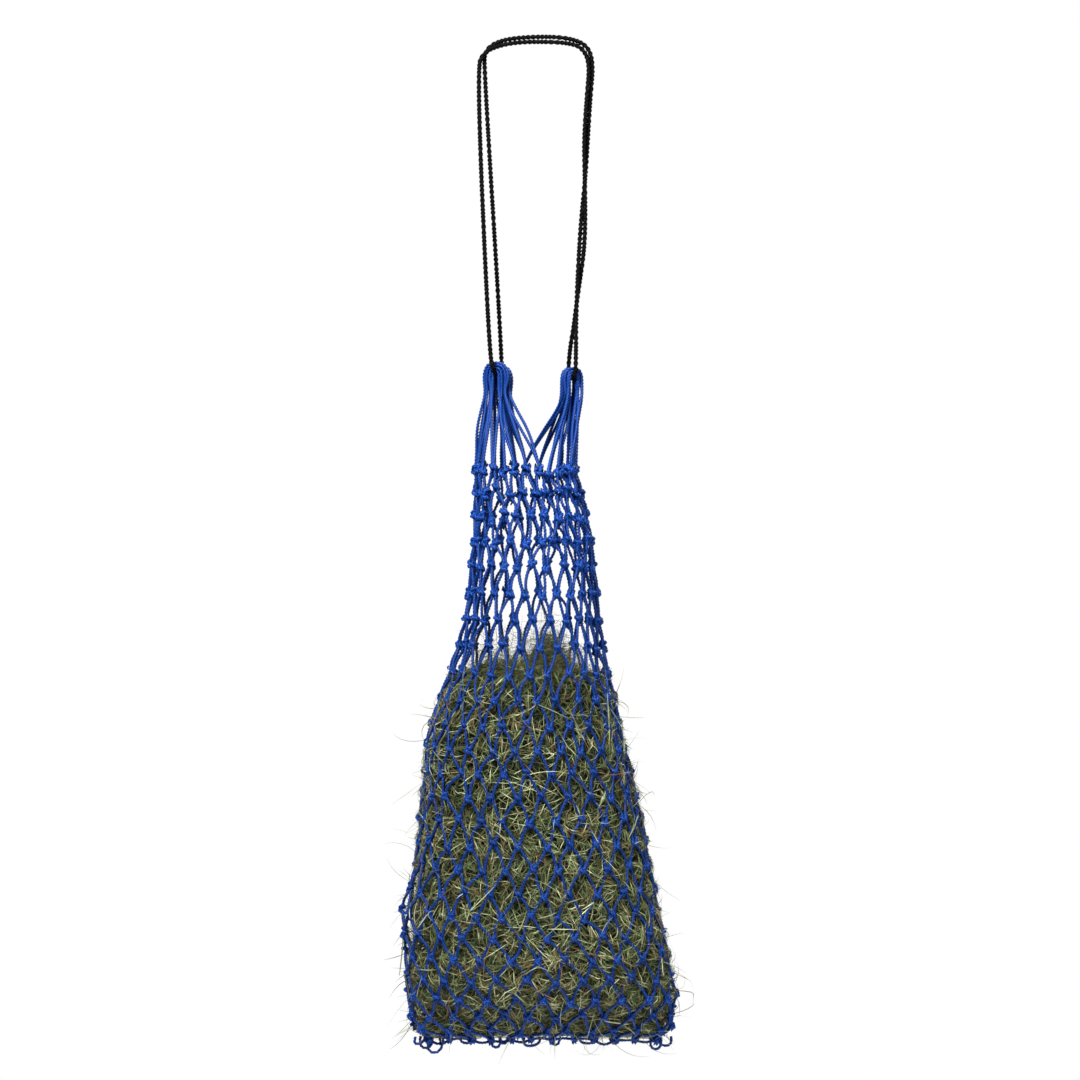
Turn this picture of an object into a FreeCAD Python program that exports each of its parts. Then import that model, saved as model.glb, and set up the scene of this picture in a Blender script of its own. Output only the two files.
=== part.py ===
"""A hanging hay net, filled and drawn shut.

Knotted twine netting hangs by two gathers of long loops from a closed braided rope, which is doubled over
whatever carries the net. The lower end is laced flat, and the hay fills the bag up to the neck.

Frame: millimetres, +Z up, +X to the right of someone facing the net, who looks along +Y. The origin is the
hanging point, just under the middle of the rope's top run.
"""

import FreeCAD
import Part
import math
import os
from bisect import bisect_right

Vector = FreeCAD.Vector

# ---------------------------------------------------------------- driving dimensions, mm

# Twine and netting
TWINE_D = 4.0
MESH_KNOT_D = 14.0
SEAT_GAP = 0.2  # a twine stops this far short of the knot that holds it
TWIN_OFFSET = 0.55 * TWINE_D  # two twines leave a knot side by side, each this far off its middle
MESHES_ROUND = 24
COURSES = 25

# The bag
MOUTH_Z = -639.0  # the first row of knots
NET_DROP = 853.5  # from the first row of knots to the seam
BAG_WIDTH = 402.0
BAG_DEPTH = 220.0

# Knot row, share of the drop, middle x, share of the width, share of the depth, squareness of the section
STATIONS = (
    (0, 0.000, -13, 0.373, 0.564, 2.0),
    (3, 0.124, -4, 0.433, 0.764, 2.0),
    (7, 0.308, -6, 0.537, 0.936, 2.0),
    (10, 0.444, -14, 0.697, 0.991, 2.1),
    (13, 0.566, -9, 0.796, 1.000, 2.1),
    (16, 0.690, -3, 0.871, 1.000, 2.1),
    (18, 0.771, -7, 0.950, 0.982, 2.1),
    (20, 0.846, 3, 0.980, 0.945, 2.2),
    (22, 0.920, 10, 1.000, 0.764, 2.4),
    (24, 0.977, 11, 0.970, 0.336, 3.4),
)
SEAM_SHARE = 0.886  # of the width, where the last row is laced
SEAM_MIDDLE_X = 11.0
SEAM_SQUARENESS = 12.0

# Long loops above the mouth: each one's two strands lie together from its knot up to a gather
LEG_D = 5.2
LEFT_LEGS = 13
GATHER_SHARE = 0.34  # of the mouth's size, where the legs enter the gather
GATHER_TOP_Z = -479.0
GATHER_FOOT_Z = -538.0
GATHER_HALF_WIDTH = 18.0
GATHER_HALF_DEPTH = 24.5
ROPE_EYE_GAP = 0.3

# A gather's outline: share of its height from the top, share of the half width, share of the half depth
GATHER_OUTLINE = (
    (0.00, 0.24, 0.22),
    (0.08, 0.55, 0.38),
    (0.22, 0.75, 0.52),
    (0.44, 0.81, 0.66),
    (0.70, 0.89, 0.83),
    (1.00, 1.00, 1.00),
)

# Draw rope
ROPE_D = 6.0
ROPE_KNOT_D = 16.0
PAIR_GAP = 1.4  # between the two right falls, where they lie together
PAIR_HALF = (ROPE_D + PAIR_GAP) / 2

# Where the rope's nodes meet, as shares of a run of its route
MID_RUN = 0.5
FALL_TOP_SHARE = 0.04
FRONT_FOOT_SHARE = 0.4

# Seam lacing
LACING_SAG = 9.0
LACING_CLEAR = 0.7  # between the lacing and the knots on each side of it

# Hay
HAY_CLEAR = 1.9  # between the hay and the knots that lie on it
HAY_SQUARENESS = 0.6  # share of the net's own above an ellipse's 2, so the hay stays off its corners
HAY_SLACK = 7.0  # how far the net hangs off the hay at its lower left
SLACK_START_ROW = 14
SLACK_FULL_ROW = 18
HAY_TOP_Z = -893.0
HAY_TOP_DROP = 50.0
HAY_TOP_SHIFT = 16.0
HAY_DOME = ((0.00, 0.30), (0.10, 0.55), (0.30, 0.80), (0.60, 0.95))  # share of the drop, and of the width

RUN_SHARE = 0.45  # of the shorter run beside a corner, taken by that corner's arc
FULL_TURN = 2 * math.pi
SLOPE_STEP = 0.3  # knot rows, for the net's slope

# ---------------------------------------------------------------- rope route, mm

# The two right falls wrap round each other: their middle x, height, and the first one's bearing in degrees
# from +X towards +Y
RIGHT_PAIR = (
    (84.9, -26, 0),
    (80.7, -75, 0),
    (77.9, -116, 5),
    (76.2, -150, 32),
    (75.4, -186, 68),
    (74.2, -221, 100),
    (72.8, -252, 133),
    (71.3, -284, 165),
    (69.5, -313, 198),
    (66.2, -347, 236),
    (62.4, -388, 270),
    (59.6, -425, 300),
)
ROPE_KNOT = (-49.5, 23, -500)
LEFT_BACK_FALL = ((-51, 21.5, -445), (-76.5, 3.7, -34))
UPPER_TOP_RUN = ((-75, 3.7, -6), (-50, 3.7, 8.5), (-5, 3, 13), (46, 2, 12), (78, 0.8, 1))
RIGHT_BEND = ((61.5, -10, -458), (60.5, -21, -500), (49.5, 21, -500), (52, 10, -458))
LOWER_TOP_RUN = (
    (70, -0.8, -3),
    (48, -1.5, 3),
    (16, -2.5, 4.5),
    (-23, -3.2, 4),
    (-53, -3.7, -1),
    (-76, -3.7, -11),
)
LEFT_FRONT_FALL = ((-87.5, -3.7, -34), (-69, -17, -453))
LEFT_BEND = ((-61, -21, -500),)


def pair_points(side):
    """One of the two right falls, from the top down: side is 1 for the first and -1 for the other."""
    points = []
    for x, z, bearing in RIGHT_PAIR:
        turn = math.radians(bearing)
        points.append((x + side * PAIR_HALF * math.cos(turn), side * PAIR_HALF * math.sin(turn), z))
    return points


def rope_route():
    """The whole rope, from its knot round to its knot again."""
    route = [ROPE_KNOT, *LEFT_BACK_FALL, *UPPER_TOP_RUN, *pair_points(1), *RIGHT_BEND]
    route += [*reversed(pair_points(-1)), *LOWER_TOP_RUN, *LEFT_FRONT_FALL, *LEFT_BEND, ROPE_KNOT]
    return [Vector(*point) for point in route]


# ---------------------------------------------------------------- tubes


def corner_arc(before, corner, after):
    """The arc that rounds a corner, its two tangent points and its radius."""
    back = before - corner
    ahead = after - corner
    reach = RUN_SHARE * min(back.Length, ahead.Length)
    back.normalize()
    ahead.normalize()
    half_turn = (math.pi - back.getAngle(ahead)) / 2
    radius = reach / math.tan(half_turn)
    start = corner + back * reach
    end = corner + ahead * reach
    inward = back + ahead
    inward.normalize()
    middle = corner + inward * (radius / math.cos(half_turn) - radius)
    return Part.Arc(start, middle, end).toShape(), start, end, radius


def route_wire(points, start, end, radii=None):
    """The route between two places, each (run, share of that run), as straight runs and tangent arcs."""
    first_run, first_share = start
    last_run, last_share = end
    here = points[first_run] + (points[first_run + 1] - points[first_run]) * first_share
    edges = []
    for i in range(first_run + 1, last_run + 1):
        arc, arc_start, arc_end, radius = corner_arc(points[i - 1], points[i], points[i + 1])
        edges += [Part.LineSegment(here, arc_start).toShape(), arc]
        here = arc_end
        if radii is not None:
            radii.append(radius)
    there = points[last_run] + (points[last_run + 1] - points[last_run]) * last_share
    edges.append(Part.LineSegment(here, there).toShape())
    return Part.Wire(edges)


def tube(wire, diameter):
    """A round tube along a wire."""
    start = wire.OrderedVertexes[0].Point
    ahead = wire.OrderedEdges[0].tangentAt(wire.OrderedEdges[0].FirstParameter)
    section = Part.Wire(Part.makeCircle(diameter / 2, start, ahead))
    return wire.makePipeShell([section], True, True)


def strand(start, end, diameter):
    """A straight round strand."""
    return Part.makeCylinder(diameter / 2, (end - start).Length, start, end - start)


def strand_between_knots(start, end, diameter, start_knot, end_knot):
    """A straight strand on the line from start to end, short of the two knots it runs into."""
    along = end - start
    along.normalize()
    clear = MESH_KNOT_D / 2 + SEAT_GAP
    from_start = (start_knot - start).dot(along) + clear
    from_end = (end - end_knot).dot(along) + clear
    return strand(start + along * from_start, end - along * from_end, diameter)


# ---------------------------------------------------------------- the net's shape


def all_stations():
    seam_half_depth = MESH_KNOT_D / 2 + TWINE_D / 2 + LACING_CLEAR
    seam_depth_share = 2 * seam_half_depth / BAG_DEPTH
    seam = (COURSES, 1.0, SEAM_MIDDLE_X, SEAM_SHARE, seam_depth_share, SEAM_SQUARENESS)
    return [*STATIONS, seam]


def blend_stations(row):
    """The stations' values at any knot row, whole or not, on a smooth curve through them."""
    stations = all_stations()
    rows = [station[0] for station in stations]
    i = min(max(bisect_right(rows, row) - 1, 0), len(rows) - 2)
    span = rows[i + 1] - rows[i]
    t = (row - rows[i]) / span

    def slope(k, column):
        low, high = max(k - 1, 0), min(k + 1, len(rows) - 1)
        return (stations[high][column] - stations[low][column]) / (rows[high] - rows[low])

    values = []
    for column in range(1, 6):
        start, end = stations[i][column], stations[i + 1][column]
        leave, arrive = slope(i, column) * span, slope(i + 1, column) * span
        value = start * (2 * t**3 - 3 * t**2 + 1) + leave * (t**3 - 2 * t**2 + t)
        value += end * (3 * t**2 - 2 * t**3) + arrive * (t**3 - t**2)
        values.append(value)
    return values


def section_at(row):
    """Height, middle x, half width, half depth and squareness of the net at a knot row."""
    drop, middle, width, depth, squareness = blend_stations(row)
    return MOUTH_Z - drop * NET_DROP, middle, width * BAG_WIDTH / 2, depth * BAG_DEPTH / 2, squareness


def outline_point(angle, half_width, half_depth, squareness):
    """A point of a rounded outline, which is an ellipse at squareness 2."""
    c, s = math.cos(angle), math.sin(angle)
    reach = (abs(c) ** squareness + abs(s) ** squareness) ** (-1 / squareness)
    return half_width * reach * c, half_depth * reach * s


def outline_wire(centre, half_width, half_depth, squareness=2.0, corners=32):
    """A level rounded outline as one smooth closed curve."""
    points = []
    for k in range(corners):
        x, y = outline_point(FULL_TURN * k / corners, half_width, half_depth, squareness)
        points.append(centre + Vector(x, y, 0))
    curve = Part.BSplineCurve()
    curve.interpolate(Points=points, PeriodicFlag=True)
    return Part.Wire(curve.toShape())


def even_points(count, offset, half_width, half_depth, squareness, steps=1440):
    """Points spaced evenly round an outline, the first one `offset` spacings after its +X end."""
    outline = [
        outline_point(FULL_TURN * k / steps, half_width, half_depth, squareness) for k in range(steps + 1)
    ]
    lengths = [0.0]
    for a, b in zip(outline, outline[1:]):
        lengths.append(lengths[-1] + math.dist(a, b))
    points = []
    for k in range(count):
        want = lengths[-1] * (k + offset) / count
        i = min(max(bisect_right(lengths, want) - 1, 0), steps - 1)
        share = (want - lengths[i]) / (lengths[i + 1] - lengths[i])
        (ax, ay), (bx, by) = outline[i], outline[i + 1]
        points.append((ax + (bx - ax) * share, ay + (by - ay) * share))
    return points


def knot_row(row):
    """A row's knots: each one's place, and the direction round the net at it. Odd rows sit half a mesh on."""
    z, middle, half_width, half_depth, squareness = section_at(row)
    offset = (row % 2) / 2
    flat = even_points(MESHES_ROUND, offset, half_width, half_depth, squareness)
    knots = []
    for k, (x, y) in enumerate(flat):
        (bx, by), (ax, ay) = flat[k - 1], flat[(k + 1) % MESHES_ROUND]
        around = Vector(ax - bx, ay - by, 0)
        around.normalize()
        knots.append((Vector(middle + x, y, z), around))
    return knots


# ---------------------------------------------------------------- netting


def knot_ball(centre):
    return Part.makeSphere(MESH_KNOT_D / 2, centre)


def mesh_course(row):
    """The twines from one knot row to the next, with the lower row's knots."""
    upper, lower = knot_row(row - 1), knot_row(row)
    solids = [knot_ball(centre) for centre, _ in lower]
    if row == 1:
        solids += [knot_ball(centre) for centre, _ in upper]
    for k, (centre, around) in enumerate(upper):
        later = k if row % 2 else k + 1
        for side, index in ((1, later), (-1, later - 1)):
            below, below_around = lower[index % MESHES_ROUND]
            start = centre + around * (TWIN_OFFSET * side)
            end = below - below_around * (TWIN_OFFSET * side)
            solids.append(strand_between_knots(start, end, TWINE_D, centre, below))
    return Part.makeCompound(solids)


def seam_lacing():
    """The twine that closes the net's lower end, between the front and back knots of the last row."""
    knots = sorted((centre for centre, _ in knot_row(COURSES) if centre.y > 0), key=lambda centre: centre.x)
    beyond = (knots[1].x - knots[0].x) / 2
    points = [Vector(knots[0].x - beyond, 0, knots[0].z - LACING_SAG / 2)]
    for left, right in zip(knots, knots[1:]):
        points.append(Vector(left.x, 0, left.z))
        points.append(Vector((left.x + right.x) / 2, 0, left.z - LACING_SAG))
    points.append(Vector(knots[-1].x, 0, knots[-1].z))
    points.append(Vector(knots[-1].x + beyond, 0, knots[-1].z - LACING_SAG / 2))
    wire = route_wire(points, (0, 0.0), (len(points) - 2, 1.0))
    return tube(wire, TWINE_D)


# ---------------------------------------------------------------- gathers of long loops


def mouth_groups():
    """The mouth knots that hang from the left gather and from the right one."""
    knots = [centre for centre, _ in knot_row(0)]
    first_left = (MESHES_ROUND - 2 * (LEFT_LEGS // 2)) // 2
    left = [knots[(first_left + k) % MESHES_ROUND] for k in range(LEFT_LEGS)]
    right = [knots[(first_left + k) % MESHES_ROUND] for k in range(LEFT_LEGS, MESHES_ROUND)]
    return left, right


def gather_middle(side):
    """Where a gather's middle stands: the middle of the rope's bend through it."""
    if side == "left":
        return (LEFT_BEND[0][0] + ROPE_KNOT[0]) / 2
    return (RIGHT_BEND[1][0] + RIGHT_BEND[2][0]) / 2


def gather_legs(side):
    """The long loops' legs, from the foot of a gather to the mouth knots. Their lines meet at one point."""
    knots = mouth_groups()[0 if side == "left" else 1]
    foot = Vector(gather_middle(side), 0, GATHER_FOOT_Z)
    middle_x = (min(k.x for k in knots) + max(k.x for k in knots)) / 2
    solids = []
    for knot in knots:
        top = foot + Vector(knot.x - middle_x, knot.y, 0) * GATHER_SHARE
        down = knot - top
        down.normalize()
        flat_end_rise = LEG_D / 2 * math.hypot(down.x, down.y)
        start = top + down * ((SEAT_GAP + flat_end_rise) / abs(down.z))
        solids.append(strand(start, knot - down * (MESH_KNOT_D / 2 + SEAT_GAP), LEG_D))
    return Part.makeCompound(solids)


def gather_bundle(side, rope_bend_wire):
    """The loops' tops, laid together over the rope: one bundle with the rope's eye through it."""
    middle_x = gather_middle(side)
    height = GATHER_TOP_Z - GATHER_FOOT_Z
    sections = []
    for down, width, depth in GATHER_OUTLINE:
        centre = Vector(middle_x, 0, GATHER_TOP_Z - down * height)
        sections.append(outline_wire(centre, width * GATHER_HALF_WIDTH, depth * GATHER_HALF_DEPTH))
    bundle = Part.makeLoft(sections, True, False)
    return bundle.cut(tube(rope_bend_wire, ROPE_D + 2 * ROPE_EYE_GAP))


# ---------------------------------------------------------------- rope


def rope_cuts(route):
    """Where the rope's nodes meet: each place is (run, share of that run)."""
    left_top = len(LEFT_BACK_FALL)
    right_top = left_top + 1 + len(UPPER_TOP_RUN)
    right_bend = right_top + len(RIGHT_PAIR)
    right_back = right_bend + len(RIGHT_BEND)
    lower_run = right_back + len(RIGHT_PAIR)
    front_fall = lower_run + len(LOWER_TOP_RUN)
    knot_share = (ROPE_KNOT_D / 2 + SEAT_GAP) / (route[1] - route[0]).Length
    last_run = len(route) - 2
    knot_share_back = 1 - (ROPE_KNOT_D / 2 + SEAT_GAP) / (route[-1] - route[-2]).Length
    return {
        "knot_out": (0, knot_share),
        "left_back_low": (0, MID_RUN),
        "left_back_high": (left_top - 1, 1 - FALL_TOP_SHARE),
        "right_front_high": (right_top, MID_RUN),
        "right_front_low": (right_bend - 1, MID_RUN),
        "right_back_low": (right_back - 1, MID_RUN),
        "right_back_high": (lower_run - 2, MID_RUN),
        "left_front_high": (front_fall, FALL_TOP_SHARE),
        "left_front_low": (front_fall + 1, FRONT_FOOT_SHARE),
        "knot_in": (last_run, knot_share_back),
    }


def rope_nodes(radii):
    """The rope's nodes by name, and the two bends' wires."""
    route = rope_route()
    at = rope_cuts(route)
    wires = {
        "left_heel": route_wire(route, at["knot_out"], at["left_back_low"]),
        "left_back": route_wire(route, at["left_back_low"], at["left_back_high"], radii),
        "upper": route_wire(route, at["left_back_high"], at["right_front_high"], radii),
        "right_front": route_wire(route, at["right_front_high"], at["right_front_low"], radii),
        "right_bend": route_wire(route, at["right_front_low"], at["right_back_low"], radii),
        "right_back": route_wire(route, at["right_back_low"], at["right_back_high"], radii),
        "lower": route_wire(route, at["right_back_high"], at["left_front_high"], radii),
        "left_front": route_wire(route, at["left_front_high"], at["left_front_low"], radii),
        "left_bend": route_wire(route, at["left_front_low"], at["knot_in"], radii),
    }
    tubes = {name: tube(wire, ROPE_D) for name, wire in wires.items()}
    length = sum(wire.Length for wire in wires.values())
    volume = sum(solid.Volume for solid in tubes.values())
    filled = volume / (length * math.pi * ROPE_D**2 / 4)
    print(f"rope {length:.0f} mm, volume over section times length {filled:.4f}")
    nodes = {
        "rope_bight": Part.makeCompound([tubes["upper"], tubes["lower"]]),
        "rope_falls_left": Part.makeCompound([tubes["left_front"], tubes["left_back"]]),
        "rope_falls_right": Part.makeCompound([tubes["right_front"], tubes["right_back"]]),
        "rope_bend_left": Part.makeCompound([tubes["left_bend"], tubes["left_heel"]]),
        "rope_bend_right": tubes["right_bend"],
        "rope_knot": Part.makeSphere(ROPE_KNOT_D / 2, Vector(*ROPE_KNOT)),
    }
    through_left = route_wire(route, at["left_front_low"], (len(route) - 2, 1.0))
    return nodes, {"left": through_left, "right": wires["right_bend"]}


# ---------------------------------------------------------------- hay


def hay_section(row, share, shift, z=None):
    """An outline inside the net at a knot row, or at a height if that is given, for the hay's surface."""
    row_z, middle, half_width, half_depth, squareness = section_at(row)
    above, below = section_at(row - SLOPE_STEP), section_at(row + SLOPE_STEP)
    fall = above[0] - below[0]
    inset = MESH_KNOT_D / 2 + HAY_CLEAR
    width_inset = inset * math.hypot(1, (above[2] - below[2]) / fall)
    depth_inset = inset * math.hypot(1, (above[3] - below[3]) / fall)
    slack_share = (row - SLACK_START_ROW) / (SLACK_FULL_ROW - SLACK_START_ROW)
    slack = HAY_SLACK * min(max(slack_share, 0), 1)
    centre = Vector(middle + slack + shift, 0, row_z if z is None else z)
    width = (half_width - width_inset - slack) * share
    depth = (half_depth - depth_inset) * share
    return outline_wire(centre, width, depth, 2 + (squareness - 2) * HAY_SQUARENESS)


def hay_fill():
    """The hay: the net's own shape, a little smaller, with a domed top that leans to the right."""
    top_share = HAY_DOME[0][1]
    sections = []
    for drop, share in HAY_DOME:
        z = HAY_TOP_Z - drop * HAY_TOP_DROP
        shift = HAY_TOP_SHIFT * (1 - share) / (1 - top_share)
        sections.append(hay_section(row_at_height(z), share, shift, z))
    first = math.ceil(row_at_height(HAY_TOP_Z - HAY_TOP_DROP))
    sections += [hay_section(row, 1.0, 0.0) for row in range(first, COURSES)]
    return Part.makeLoft(sections, True, False)


def row_at_height(z):
    """The knot row, whole or not, at a height."""
    low, high = 0.0, float(COURSES)
    for _ in range(40):
        middle = (low + high) / 2
        if section_at(middle)[0] > z:
            low = middle
        else:
            high = middle
    return low


# ---------------------------------------------------------------- export


def main():
    radii = []
    nodes, eye_wires = rope_nodes(radii)
    print("rope bend radii", ", ".join(f"{radius:.0f}" for radius in radii))
    for side in ("left", "right"):
        nodes[f"gather_{side}"] = gather_bundle(side, eye_wires[side])
        nodes[f"loop_legs_{side}"] = gather_legs(side)
    for row in range(1, COURSES + 1):
        nodes[f"mesh_course_{row:02d}"] = mesh_course(row)
    nodes["seam_lacing"] = seam_lacing()
    nodes["hay"] = hay_fill()
    os.makedirs("parts", exist_ok=True)
    for name, shape in nodes.items():
        shape.exportStep(f"parts/{name}.step")
        bounds = shape.BoundBox
        print(
            f"{name:18} solids {len(shape.Solids):3} valid {shape.isValid()} volume {shape.Volume:12.1f}"
            f" x {bounds.XMin:7.1f} {bounds.XMax:7.1f} y {bounds.YMin:7.1f} {bounds.YMax:7.1f}"
            f" z {bounds.ZMin:8.1f} {bounds.ZMax:7.1f}"
        )


main()
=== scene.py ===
import functools
import math

import bmesh
import bpy
import numpy as np
from bpy.props import FloatProperty, FloatVectorProperty, IntProperty, PointerProperty
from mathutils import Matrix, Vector, noise


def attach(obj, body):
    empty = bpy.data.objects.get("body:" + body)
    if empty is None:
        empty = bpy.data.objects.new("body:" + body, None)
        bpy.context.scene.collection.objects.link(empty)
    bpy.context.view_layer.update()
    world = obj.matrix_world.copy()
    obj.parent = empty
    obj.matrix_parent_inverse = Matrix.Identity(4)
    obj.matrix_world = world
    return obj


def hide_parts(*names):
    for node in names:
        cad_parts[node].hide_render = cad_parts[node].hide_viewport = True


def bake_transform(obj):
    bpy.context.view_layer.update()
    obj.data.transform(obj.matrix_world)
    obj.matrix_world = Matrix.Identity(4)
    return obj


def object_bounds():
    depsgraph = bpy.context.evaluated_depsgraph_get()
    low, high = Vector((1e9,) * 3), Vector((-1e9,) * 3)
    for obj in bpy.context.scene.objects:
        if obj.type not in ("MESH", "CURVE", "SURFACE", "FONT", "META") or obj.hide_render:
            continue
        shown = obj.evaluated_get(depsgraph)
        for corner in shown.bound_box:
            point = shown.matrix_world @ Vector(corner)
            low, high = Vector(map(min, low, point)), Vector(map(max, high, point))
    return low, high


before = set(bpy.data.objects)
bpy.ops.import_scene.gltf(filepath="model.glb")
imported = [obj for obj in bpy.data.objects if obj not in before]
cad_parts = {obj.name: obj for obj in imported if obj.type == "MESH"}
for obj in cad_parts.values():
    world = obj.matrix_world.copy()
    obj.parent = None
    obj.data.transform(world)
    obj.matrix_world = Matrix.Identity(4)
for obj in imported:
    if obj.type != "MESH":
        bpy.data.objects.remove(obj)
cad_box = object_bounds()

bl_info = {
    "name": "Hay Net",
    "version": (1, 0, 0),
    "blender": (4, 5, 0),
    "location": "3D View > Sidebar > Hay Net",
    "description": "Makes a hanging knotted hay net, its draw rope and its hay around the packed part",
    "category": "Add Mesh",
}

TAU = 2 * math.pi

# ---- the net's shape, metres ----

MESHES_ROUND = 24
COURSES = 25
MOUTH_Z = -0.639
NET_DROP = 0.8535
BAG_WIDTH = 0.402
BAG_DEPTH = 0.220
ROUND_STEPS = 1440  # steps in which the way round the net is measured
MOST_SHIFT = 0.006  # of a knot from its even place
SHIFT_OUT = 0.4  # how far knots shift in and out, against round and up
MOUTH_ROWS = 3  # whose knots stand more unevenly in height
MOUTH_UNEVENNESS = 1.7
LACED_UNEVENNESS = 0.4

# Knot row, share of the drop, middle x in metres, share of the width, share of the depth, squareness
STATIONS = (
    (0, 0.000, -0.013, 0.373, 0.564, 2.0),
    (3, 0.124, -0.004, 0.433, 0.764, 2.0),
    (7, 0.308, -0.006, 0.537, 0.936, 2.0),
    (10, 0.444, -0.014, 0.697, 0.991, 2.1),
    (13, 0.566, -0.009, 0.796, 1.000, 2.1),
    (16, 0.690, -0.003, 0.871, 1.000, 2.1),
    (18, 0.771, -0.007, 0.950, 0.982, 2.1),
    (20, 0.846, 0.003, 0.980, 0.945, 2.2),
    (22, 0.920, 0.010, 1.000, 0.764, 2.4),
    (24, 0.977, 0.011, 0.970, 0.336, 3.4),
    (25, 1.000, 0.011, 0.886, 0.088, 12.0),
)

# The last courses of the neck, of the collar between it and the bag, and of the bag's upper two pieces
NECK_ROWS = 5
COLLAR_ROWS = 8
UPPER_ROWS = 14
MIDDLE_ROWS = 20

# ---- the rope's route, metres ----

# The two right falls wrap round each other: their middle x, height, and the first one's bearing in degrees
RIGHT_PAIR = (
    (0.0849, -0.026, 40), (0.0807, -0.075, 44), (0.0779, -0.116, 40), (0.0762, -0.150, 48),
    (0.0754, -0.186, 74), (0.0742, -0.221, 102), (0.0728, -0.252, 133), (0.0713, -0.284, 165),
    (0.0695, -0.313, 198), (0.0662, -0.347, 236), (0.0624, -0.388, 270), (0.0596, -0.425, 300),
)
PAIR_HALF = 0.0037
ROPE_KNOT = (-0.0495, 0.023, -0.500)
LEFT_BACK_FALL = ((-0.051, 0.0215, -0.445), (-0.0765, 0.0037, -0.034))
UPPER_TOP_RUN = (
    (-0.075, 0.0037, -0.006), (-0.050, 0.0037, 0.0085), (-0.005, 0.003, 0.013),
    (0.046, 0.002, 0.012), (0.078, 0.0008, 0.001),
)
RIGHT_BEND = (
    (0.0615, -0.010, -0.458), (0.0605, -0.021, -0.500), (0.0495, 0.021, -0.500),
    (0.052, 0.010, -0.458),
)
LOWER_TOP_RUN = (
    (0.070, -0.0008, -0.003), (0.048, -0.0015, 0.003), (0.016, -0.0025, 0.0045),
    (-0.023, -0.0032, 0.004), (-0.053, -0.0037, -0.001), (-0.076, -0.0037, -0.011),
)
LEFT_FRONT_FALL = ((-0.0875, -0.0037, -0.034), (-0.069, -0.017, -0.453))
LEFT_BEND = ((-0.061, -0.021, -0.500),)


# ---- sizes and colours ----


def length_property(name, description, metres):
    return FloatProperty(name=name, description=description, default=metres, unit="LENGTH")


def colour_property(name, description, *rgb):
    return FloatVectorProperty(name=name, description=description, subtype="COLOR", size=4, default=(*rgb, 1))


class HayNetSizes(bpy.types.PropertyGroup):
    """Sizes that a user may change."""

    twine: length_property("Twine", "Diameter of the netting twine", 0.004)
    ply_turns: FloatProperty(name="Ply turns", description="Turns of the plies in a metre", default=69)
    rope: length_property("Rope", "Diameter of the draw rope", 0.006)
    braid_pitch: length_property("Braid pitch", "Length of one turn of a rope carrier", 0.0136)
    unevenness: length_property("Unevenness", "How far a knot sits from its even place", 0.0026)
    stems: IntProperty(name="Blades", description="Blades on each quarter of the hay", default=9300, min=100)
    stem_width: length_property("Stem width", "Width of a hay blade", 0.0014)
    stem_length: length_property("Stem length", "Length of a hay blade", 0.029)
    wisps: IntProperty(name="Wisps", description="Fine stems that stick out of the net", default=2200, min=10)


class HayNetColours(bpy.types.PropertyGroup):
    """Colours that a user may change."""

    twine: colour_property("Twine", "Netting twine", 0.0022, 0.052, 0.305)
    # Painted shade: the twine's colour in the grooves between its plies, where shade falls
    twine_groove_shade: colour_property("Twine grooves", "Twine in its grooves", 0.0009, 0.007, 0.060)
    rope: colour_property("Rope", "Draw rope", 0.0014, 0.0014, 0.0016)
    # Old hay's tone, which also serves as painted shade on the heap and the deepest blades
    hay_dark: colour_property("Old hay", "Darkest stems", 0.040, 0.052, 0.022)
    hay_green: colour_property("Green hay", "Most stems", 0.158, 0.204, 0.077)
    hay_straw: colour_property("Straw", "Lightest stems", 0.56, 0.60, 0.35)
    hay_brown: colour_property("Brown stems", "Weathered stems", 0.24, 0.13, 0.05)
    floor: colour_property("Floor", "Floor under the net", 0.92, 0.92, 0.92)


def sizes():
    return bpy.context.scene.hay_net_sizes


def colours():
    return bpy.context.scene.hay_net_colours


# ---- the net's rows and knots ----


def unit(vectors):
    """Vectors of length 1 along the last axis."""
    return vectors / np.maximum(np.linalg.norm(vectors, axis=-1, keepdims=True), 1e-12)


def net_section(row):
    """Height, middle x, half width, half depth and squareness of the net at knot rows, whole or not."""
    table = np.array(STATIONS)
    rows, values = table[:, 0], table[:, 1:]
    low = np.clip(np.arange(len(rows)) - 1, 0, None)
    high = np.clip(np.arange(len(rows)) + 1, None, len(rows) - 1)
    slopes = (values[high] - values[low]) / (rows[high] - rows[low])[:, None]
    row = np.asarray(row, float)
    i = np.clip(np.searchsorted(rows, row, side="right") - 1, 0, len(rows) - 2)
    span = (rows[i + 1] - rows[i])[..., None]
    t = (row - rows[i])[..., None] / span
    value = values[i] * (2 * t**3 - 3 * t**2 + 1) + slopes[i] * span * (t**3 - 2 * t**2 + t)
    value += values[i + 1] * (3 * t**2 - 2 * t**3) + slopes[i + 1] * span * (t**3 - t**2)
    drop, middle, width, depth, squareness = np.moveaxis(value, -1, 0)
    return MOUTH_Z - drop * NET_DROP, middle, width * BAG_WIDTH / 2, depth * BAG_DEPTH / 2, squareness


def net_surface(row, angle, inset=0.0):
    """Points of the net's own surface, or of one a little inside it."""
    z, middle, half_width, half_depth, squareness = net_section(row)
    c, s = np.cos(angle), np.sin(angle)
    reach = (np.abs(c) ** squareness + np.abs(s) ** squareness) ** (-1 / squareness)
    x = middle + np.maximum(half_width - inset, 0.004) * reach * c
    y = np.maximum(half_depth - inset, 0.004) * reach * s
    return np.stack(np.broadcast_arrays(x, y, z), axis=-1)


def surface_frame(row, angle):
    """Places on the net, the directions round it, down it and out of it, and the area each stands for."""
    step = 1e-3
    place = net_surface(row, angle)
    around = net_surface(row, angle + step) - place
    down = net_surface(row + step, angle) - place
    out = np.cross(down, around)
    area = np.linalg.norm(out, axis=-1)
    return place, unit(around), unit(down), unit(out), area


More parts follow.
